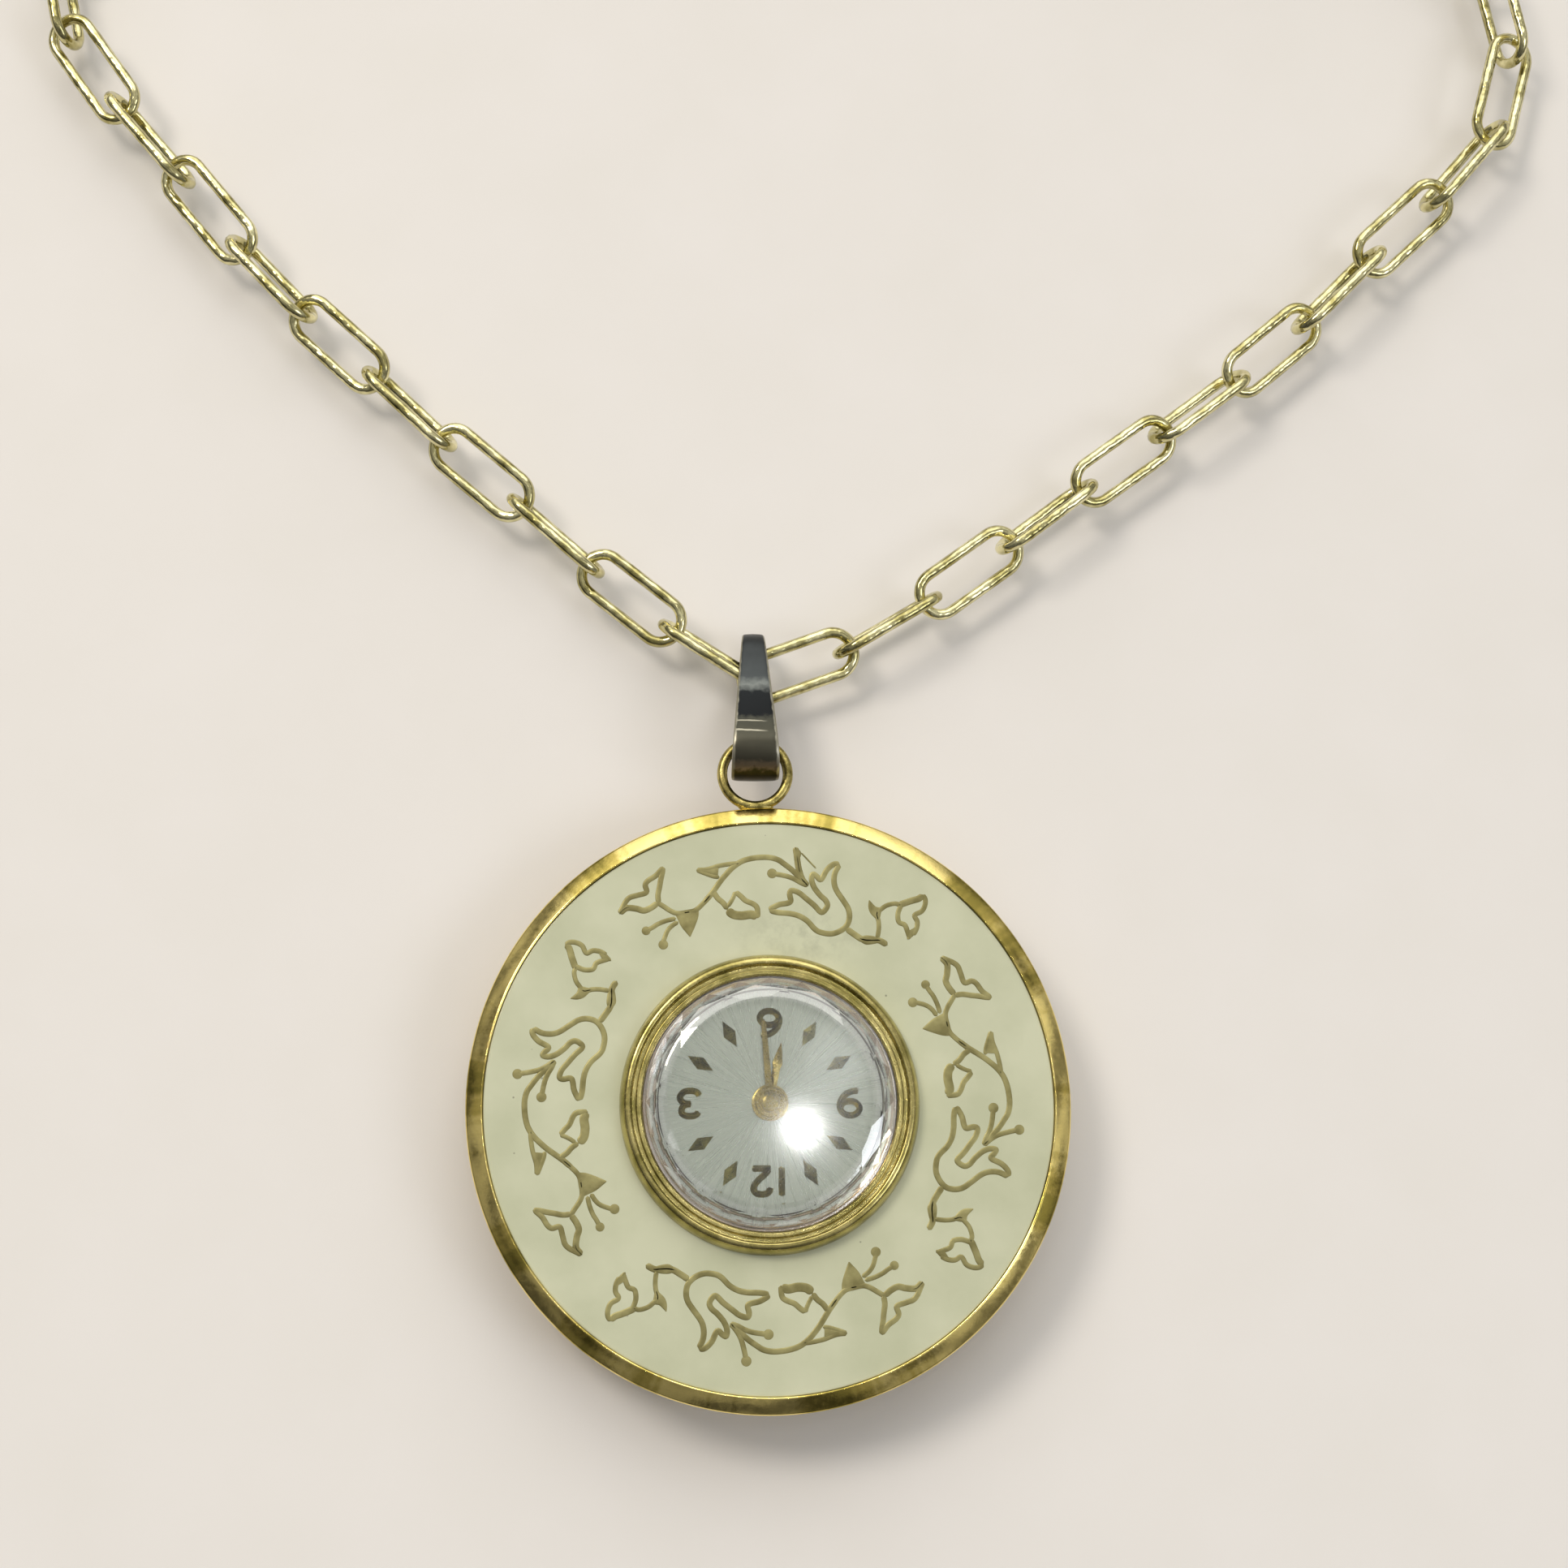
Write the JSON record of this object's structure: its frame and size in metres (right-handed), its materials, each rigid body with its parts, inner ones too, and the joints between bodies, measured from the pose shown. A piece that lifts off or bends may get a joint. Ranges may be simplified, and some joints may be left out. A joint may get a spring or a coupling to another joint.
{
  "type": "pendant watch",
  "caption": "Hand-wound pendant watch: round enamelled flange with a gilt rim, domed faceted crystal, hinged bail and a long-link neck chain with clasp",
  "frame": {"origin": "centre of the flat underside of the case back", "axes": "+Z out of the dial, +Y from the disc's centre towards the bail, +X to the right of the dial as pictured, which hangs upside down"},
  "size_m": [0.1554, 0.1452, 0.008],
  "materials": {
    "polished_gilt": "polished gilt brass",
    "hand_gilt": "gilt brass",
    "chain_gilt": "pale gilt, hammered",
    "movement_brass": "brushed brass",
    "back_steel": "brushed",
    "movement_steel": "fine brushed",
    "plated_plate": "nickel plated",
    "dial_silver": "silvered, sun-brushed",
    "enamel": "satin enamel",
    "crystal_clear": "clear, moulded",
    "ruby": "polished synthetic ruby",
    "dark_metal": "gunmetal, worn edges"
  },
  "bodies": {
    "watch": {"watch_case": "polished_gilt", "case_back": "back_steel", "enamel_ring": "enamel", "bezel": "polished_gilt", "crystal": "crystal_clear", "dial": "dial_silver", "dial_markers": "hand_gilt", "movement_plate": "plated_plate", "barrel_bridge": "plated_plate", "train_bridge": "plated_plate", "balance_cock": "plated_plate", "pallet_bridge": "plated_plate", "bridge_screws": "movement_steel", "jewels": "ruby", "hairspring": "movement_steel", "loop_ring": "polished_gilt"},
    "minute_hand_group": {"cannon_pinion": "movement_steel", "minute_hand": "hand_gilt"},
    "minute_wheel": {"minute_wheel": "movement_brass"},
    "hour_hand_group": {"hour_wheel": "movement_brass", "hour_hand": "hand_gilt"},
    "third_wheel": {"third_wheel": "movement_brass"},
    "centre_wheel": {"centre_wheel": "movement_brass"},
    "barrel": {"barrel": "movement_brass"},
    "fourth_wheel": {"fourth_wheel": "movement_brass"},
    "escape_wheel": {"escape_wheel": "movement_steel"},
    "balance": {"balance_wheel": "movement_brass"},
    "pallet_fork": {"pallet_fork": "movement_steel"},
    "stem_collar": {"stem_collar": "movement_steel"},
    "knob": {"winding_stem": "movement_steel", "winding_knob": "polished_gilt"},
    "winding_pinion": {"winding_pinion": "movement_steel"},
    "winding_wheel": {"winding_wheel": "movement_steel"},
    "ratchet_wheel": {"ratchet_wheel": "movement_steel"},
    "click": {"click": "movement_steel"},
    "clutch": {"clutch": "movement_steel"},
    "setting_lever": {"setting_lever": "movement_steel"},
    "yoke": {"yoke": "movement_steel"},
    "bail": {"bail": "dark_metal"},
    "chain_left": {"chain_left": "chain_gilt", "clasp": "chain_gilt"},
    "chain_right": {"chain_right": "chain_gilt"},
    "clasp_bolt": {"clasp_bolt": "chain_gilt"},
    "end_ring": {"end_ring": "chain_gilt"},
    "link_left_1": {"link_left_1": "chain_gilt"},
    "link_left_2": {"link_left_2": "chain_gilt"},
    "link_left_3": {"link_left_3": "chain_gilt"},
    "link_left_4": {"link_left_4": "chain_gilt"},
    "link_left_5": {"link_left_5": "chain_gilt"},
    "link_left_6": {"link_left_6": "chain_gilt"},
    "link_left_7": {"link_left_7": "chain_gilt"},
    "link_right_1": {"link_right_1": "chain_gilt"},
    "link_right_2": {"link_right_2": "chain_gilt"},
    "link_right_3": {"link_right_3": "chain_gilt"},
    "link_right_4": {"link_right_4": "chain_gilt"},
    "link_right_5": {"link_right_5": "chain_gilt"},
    "link_right_6": {"link_right_6": "chain_gilt"},
    "link_right_7": {"link_right_7": "chain_gilt"}
  },
  "joints": [
    {"name": "hands_turn", "type": "hinge", "parent": "watch", "child": "minute_hand_group", "pos_m": [0, 0, 0.00582], "axis": [0, 0, -1], "continuous": true},
    {"name": "minute_wheel_turn", "type": "hinge", "parent": "watch", "child": "minute_wheel", "pos_m": [0.001, 0.00173, 0.00429], "axis": [0, 0, -1], "continuous": true},
    {"name": "hour_hand_turn", "type": "hinge", "parent": "watch", "child": "hour_hand_group", "pos_m": [0, 0, 0.00556], "axis": [0, 0, -1], "continuous": true},
    {"name": "third_wheel_turn", "type": "hinge", "parent": "watch", "child": "third_wheel", "pos_m": [0.00304, -0.00111, 0.00328], "axis": [0, 0, 1], "continuous": true},
    {"name": "centre_wheel_turn", "type": "hinge", "parent": "watch", "child": "centre_wheel", "pos_m": [0, 0, 0.00191], "axis": [0, 0, 1], "continuous": true},
    {"name": "barrel_turn", "type": "hinge", "parent": "watch", "child": "barrel", "pos_m": [-0.00126, 0.00345, 0.00328], "axis": [0, 0, 1], "continuous": true},
    {"name": "fourth_wheel_turn", "type": "hinge", "parent": "watch", "child": "fourth_wheel", "pos_m": [0.00256, -0.00387, 0.00247], "axis": [0, 0, 1], "continuous": true},
    {"name": "escape_wheel_turn", "type": "hinge", "parent": "watch", "child": "escape_wheel", "pos_m": [0.00024, -0.00449, 0.00302], "axis": [0, 0, 1], "continuous": true},
    {"name": "balance_swing", "type": "hinge", "parent": "watch", "child": "balance", "pos_m": [-0.0033, -0.00395, 0.00227], "axis": [0, 0, 1], "range_deg": [-135, 135], "stiffness_Nm_per_rad": 0.00000025},
    {"name": "pallet_fork_swing", "type": "hinge", "parent": "watch", "child": "pallet_fork", "pos_m": [-0.00195, -0.00515, 0.00302], "axis": [0, 0, 1], "range_deg": [-3.5, 3.5]},
    {"name": "stem_pull", "type": "slide", "parent": "watch", "child": "stem_collar", "axis": [-1, 0, 0], "range_m": [0, 0.0007]},
    {"name": "knob_turn", "type": "hinge", "parent": "stem_collar", "child": "knob", "pos_m": [-0.0111, 0, 0.00274], "axis": [-1, 0, 0], "continuous": true},
    {"name": "winding_pinion_turn", "type": "hinge", "parent": "watch", "child": "winding_pinion", "pos_m": [-0.00439, 0, 0.00274], "axis": [-1, 0, 0], "continuous": true},
    {"name": "winding_wheel_turn", "type": "hinge", "parent": "watch", "child": "winding_wheel", "pos_m": [-0.00358, 0.0001, 0.00085], "axis": [0, 0, 1], "continuous": true},
    {"name": "ratchet_wheel_turn", "type": "hinge", "parent": "watch", "child": "ratchet_wheel", "pos_m": [-0.00126, 0.00345, 0.00085], "axis": [0, 0, 1], "continuous": true},
    {"name": "click_swing", "type": "hinge", "parent": "watch", "child": "click", "pos_m": [0.00037, 0.00652, 0.00085], "axis": [0, 0, 1], "range_deg": [0, 8], "stiffness_Nm_per_rad": 0.000002},
    {"name": "clutch_slide", "type": "slide", "parent": "knob", "child": "clutch", "axis": [1, 0, 0], "range_m": [0, 0.001]},
    {"name": "setting_lever_swing", "type": "hinge", "parent": "watch", "child": "setting_lever", "pos_m": [-0.00451, -0.00124, 0.00429], "axis": [0, 0, 1], "range_deg": [-15, 0]},
    {"name": "yoke_swing", "type": "hinge", "parent": "watch", "child": "yoke", "pos_m": [-0.0066, 0.00186, 0.00429], "axis": [0, 0, 1], "range_deg": [0, 5]},
    {"name": "bail_swing", "type": "hinge", "parent": "watch", "child": "bail", "pos_m": [-0.00075, 0.02345, 0.00492], "axis": [1, 0, 0], "range_deg": [0, 35]},
    {"name": "link_left_1_swing", "type": "hinge", "parent": "bail", "child": "link_left_1", "pos_m": [-0.00062, 0.02812, 0.00271], "axis": [0, 0, 1], "range_deg": [-8, 8]},
    {"name": "link_left_2_swing", "type": "hinge", "parent": "link_left_1", "child": "link_left_2", "pos_m": [-0.0062, 0.03174, 0.00271], "axis": [0, 0, -1], "range_deg": [-8, 8]},
    {"name": "link_left_3_swing", "type": "hinge", "parent": "link_left_2", "child": "link_left_3", "pos_m": [-0.01138, 0.03594, 0.00271], "axis": [0, 0, 1], "range_deg": [-8, 8]},
    {"name": "link_left_4_swing", "type": "hinge", "parent": "link_left_3", "child": "link_left_4", "pos_m": [-0.01633, 0.04039, 0.00271], "axis": [0, 0, -1], "range_deg": [-8, 8]},
    {"name": "link_left_5_swing", "type": "hinge", "parent": "link_left_4", "child": "link_left_5", "pos_m": [-0.02135, 0.04476, 0.00271], "axis": [0, 0, 1], "range_deg": [-8, 8]},
    {"name": "link_left_6_swing", "type": "hinge", "parent": "link_left_5", "child": "link_left_6", "pos_m": [-0.02614, 0.04939, 0.00271], "axis": [0, 0, -1], "range_deg": [-8, 8]},
    {"name": "link_left_7_swing", "type": "hinge", "parent": "link_left_6", "child": "link_left_7", "pos_m": [-0.03101, 0.05393, 0.00271], "axis": [0, 0, 1], "range_deg": [-8, 8]},
    {"name": "chain_left_swing", "type": "hinge", "parent": "link_left_7", "child": "chain_left", "pos_m": [-0.03556, 0.0588, 0.00271], "axis": [0, 0, -1], "range_deg": [-8, 8]},
    {"name": "link_right_1_swing", "type": "hinge", "parent": "bail", "child": "link_right_1", "pos_m": [-0.0009, 0.02803, 0.00271], "axis": [0, 0, 1], "range_deg": [-8, 8]},
    {"name": "link_right_2_swing", "type": "hinge", "parent": "link_right_1", "child": "link_right_2", "pos_m": [0.00536, 0.03031, 0.00271], "axis": [0, 0, -1], "range_deg": [-8, 8]},
    {"name": "link_right_3_swing", "type": "hinge", "parent": "link_right_2", "child": "link_right_3", "pos_m": [0.01107, 0.03374, 0.00271], "axis": [0, 0, 1], "range_deg": [-8, 8]},
    {"name": "link_right_4_swing", "type": "hinge", "parent": "link_right_3", "child": "link_right_4", "pos_m": [0.01645, 0.03765, 0.00271], "axis": [0, 0, -1], "range_deg": [-8, 8]},
    {"name": "link_right_5_swing", "type": "hinge", "parent": "link_right_4", "child": "link_right_5", "pos_m": [0.02177, 0.04166, 0.00271], "axis": [0, 0, 1], "range_deg": [-8, 8]},
    {"name": "link_right_6_swing", "type": "hinge", "parent": "link_right_5", "child": "link_right_6", "pos_m": [0.02716, 0.04557, 0.00271], "axis": [0, 0, -1], "range_deg": [-8, 8]},
    {"name": "link_right_7_swing", "type": "hinge", "parent": "link_right_6", "child": "link_right_7", "pos_m": [0.03248, 0.04958, 0.00271], "axis": [0, 0, 1], "range_deg": [-8, 8]},
    {"name": "chain_right_swing", "type": "hinge", "parent": "link_right_7", "child": "chain_right", "pos_m": [0.03758, 0.05386, 0.00271], "axis": [0, 0, -1], "range_deg": [-8, 8]},
    {"name": "clasp_bolt_slide", "type": "hinge", "parent": "chain_left", "child": "clasp_bolt", "pos_m": [-0.07759, 0.12325, 0.00271], "axis": [0, 0, 1], "range_deg": [0, 40], "stiffness_Nm_per_rad": 0.001},
    {"name": "end_ring_swing", "type": "hinge", "parent": "chain_right", "child": "end_ring", "pos_m": [0.07189, 0.11754, 0.00271], "axis": [0, 0, 1], "range_deg": [-8, 8]}
  ],
  "couplings": [
    {"joint": "minute_wheel_turn", "follows": "hands_turn", "ratio": -0.33333},
    {"joint": "hour_hand_turn", "follows": "hands_turn", "ratio": 0.083333},
    {"joint": "centre_wheel_turn", "follows": "third_wheel_turn", "ratio": -0.125},
    {"joint": "barrel_turn", "follows": "third_wheel_turn", "ratio": 0.020833},
    {"joint": "fourth_wheel_turn", "follows": "third_wheel_turn", "ratio": -7.5},
    {"joint": "escape_wheel_turn", "follows": "third_wheel_turn", "ratio": 52.5},
    {"joint": "winding_pinion_turn", "follows": "knob_turn", "ratio": 1},
    {"joint": "winding_wheel_turn", "follows": "knob_turn", "ratio": -0.9},
    {"joint": "ratchet_wheel_turn", "follows": "knob_turn", "ratio": 0.58065},
    {"joint": "clutch_slide", "follows": "stem_pull", "ratio": 1.4286},
    {"joint": "setting_lever_swing", "follows": "stem_pull", "rad_per_m": -350},
    {"joint": "yoke_swing", "follows": "stem_pull", "rad_per_m": 120}
  ]
}
